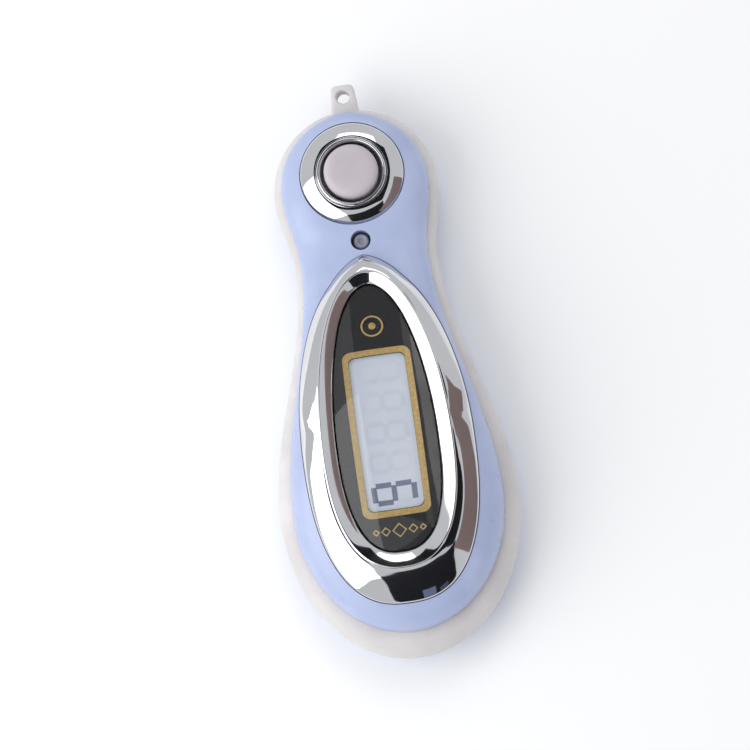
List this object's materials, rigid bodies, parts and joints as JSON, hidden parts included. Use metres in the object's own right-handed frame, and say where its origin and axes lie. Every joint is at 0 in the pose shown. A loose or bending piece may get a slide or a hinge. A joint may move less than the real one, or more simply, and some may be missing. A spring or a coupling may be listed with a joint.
{
  "type": "hand tally counter",
  "caption": "Pocket electronic tally counter with a gourd-shaped body, a big thumb button, a reset button and a digit window under a domed lens.",
  "frame": {"origin": "middle of the bounding box, on the flat back that the counter lies on", "axes": "+X across the body, +Y along the body towards the lanyard lug, +Z out of the front face with the buttons"},
  "size_m": [0.038, 0.0928, 0.019],
  "materials": {
    "blue_gloss_abs": "high gloss injection moulded, light periwinkle blue",
    "frosted_grey_abs": "fine satin, slightly translucent greyish white",
    "milky_cap_plastic": "milky translucent, soft gloss",
    "chrome_plated_abs": "bright chrome plating on moulded plastic",
    "clear_acrylic": "clear polished acrylic",
    "black_printed_film": "black screen print with gold ornaments",
    "display_glass": "polarised liquid crystal glass",
    "reflector_foil": "satin reflector",
    "silicone_rubber": "soft matt silicone",
    "zebra_silicone": "layered conductive silicone",
    "white_holder_abs": "plain white moulded",
    "carbon_pill": "carbon-filled silicone",
    "green_laminate": "solder mask on glass-epoxy laminate",
    "black_epoxy": "cured epoxy drop",
    "capacitor_ceramic": "fired ceramic",
    "resistor_ceramic": "lacquered ceramic",
    "nickel_spring_steel": "nickel-plated strip",
    "zinc_plated_steel": "zinc-plated",
    "stainless_cell_can": "drawn stainless steel"
  },
  "bodies": {
    "case": {"front_shell": "blue_gloss_abs", "middle_frame": "frosted_grey_abs", "rear_shell": "blue_gloss_abs", "display_bezel": "chrome_plated_abs", "display_lens": "clear_acrylic", "printed_insert": "black_printed_film", "lcd_front_glass": "display_glass", "lcd_rear_glass": "display_glass", "lcd_reflector": "reflector_foil", "lcd_holder": "white_holder_abs", "zebra_strip_1": "zebra_silicone", "zebra_strip_2": "zebra_silicone", "circuit_board": "green_laminate", "chip_blob": "black_epoxy", "capacitor": "capacitor_ceramic", "resistor_1": "resistor_ceramic", "resistor_2": "resistor_ceramic", "button_ring": "chrome_plated_abs", "count_rubber_dome": "silicone_rubber", "reset_rubber_dome": "silicone_rubber", "battery_contact_negative": "nickel_spring_steel", "battery_contact_positive": "nickel_spring_steel", "case_screw_1": "zinc_plated_steel", "case_screw_2": "zinc_plated_steel", "case_screw_3": "zinc_plated_steel", "board_screw_1": "zinc_plated_steel", "board_screw_2": "zinc_plated_steel"},
    "count_button": {"count_button": "milky_cap_plastic", "count_contact_pill": "carbon_pill"},
    "reset_button": {"reset_button": "milky_cap_plastic", "reset_contact_pill": "carbon_pill"},
    "battery_door": {"battery_door": "blue_gloss_abs"},
    "door_screw": {"battery_door_screw": "zinc_plated_steel"},
    "cell": {"button_cell": "stainless_cell_can"}
  },
  "joints": [
    {"name": "count_press", "type": "slide", "parent": "case", "child": "count_button", "axis": [0, 0, -1], "range_m": [0, 0.0012], "stiffness_N_per_m": 400, "springref_m": -0.001, "deforming": ["count_rubber_dome"]},
    {"name": "reset_press", "type": "slide", "parent": "case", "child": "reset_button", "axis": [0, 0, -1], "range_m": [0, 0.0007], "stiffness_N_per_m": 400, "springref_m": -0.001, "deforming": ["reset_rubber_dome"]},
    {"name": "door_lift", "type": "slide", "parent": "case", "child": "battery_door", "axis": [0, 0, -1], "range_m": [0, 0.016]},
    {"name": "door_screw_turn", "type": "hinge", "parent": "battery_door", "child": "door_screw", "pos_m": [0, -0.0048, 0], "axis": [0, 0, 1], "continuous": true},
    {"name": "cell_drop", "type": "slide", "parent": "case", "child": "cell", "axis": [0, 0, -1], "range_m": [0, 0.009]}
  ],
  "couplings": [
    {"joint": "cell_drop", "follows": "door_lift", "ratio": 0.55}
  ]
}
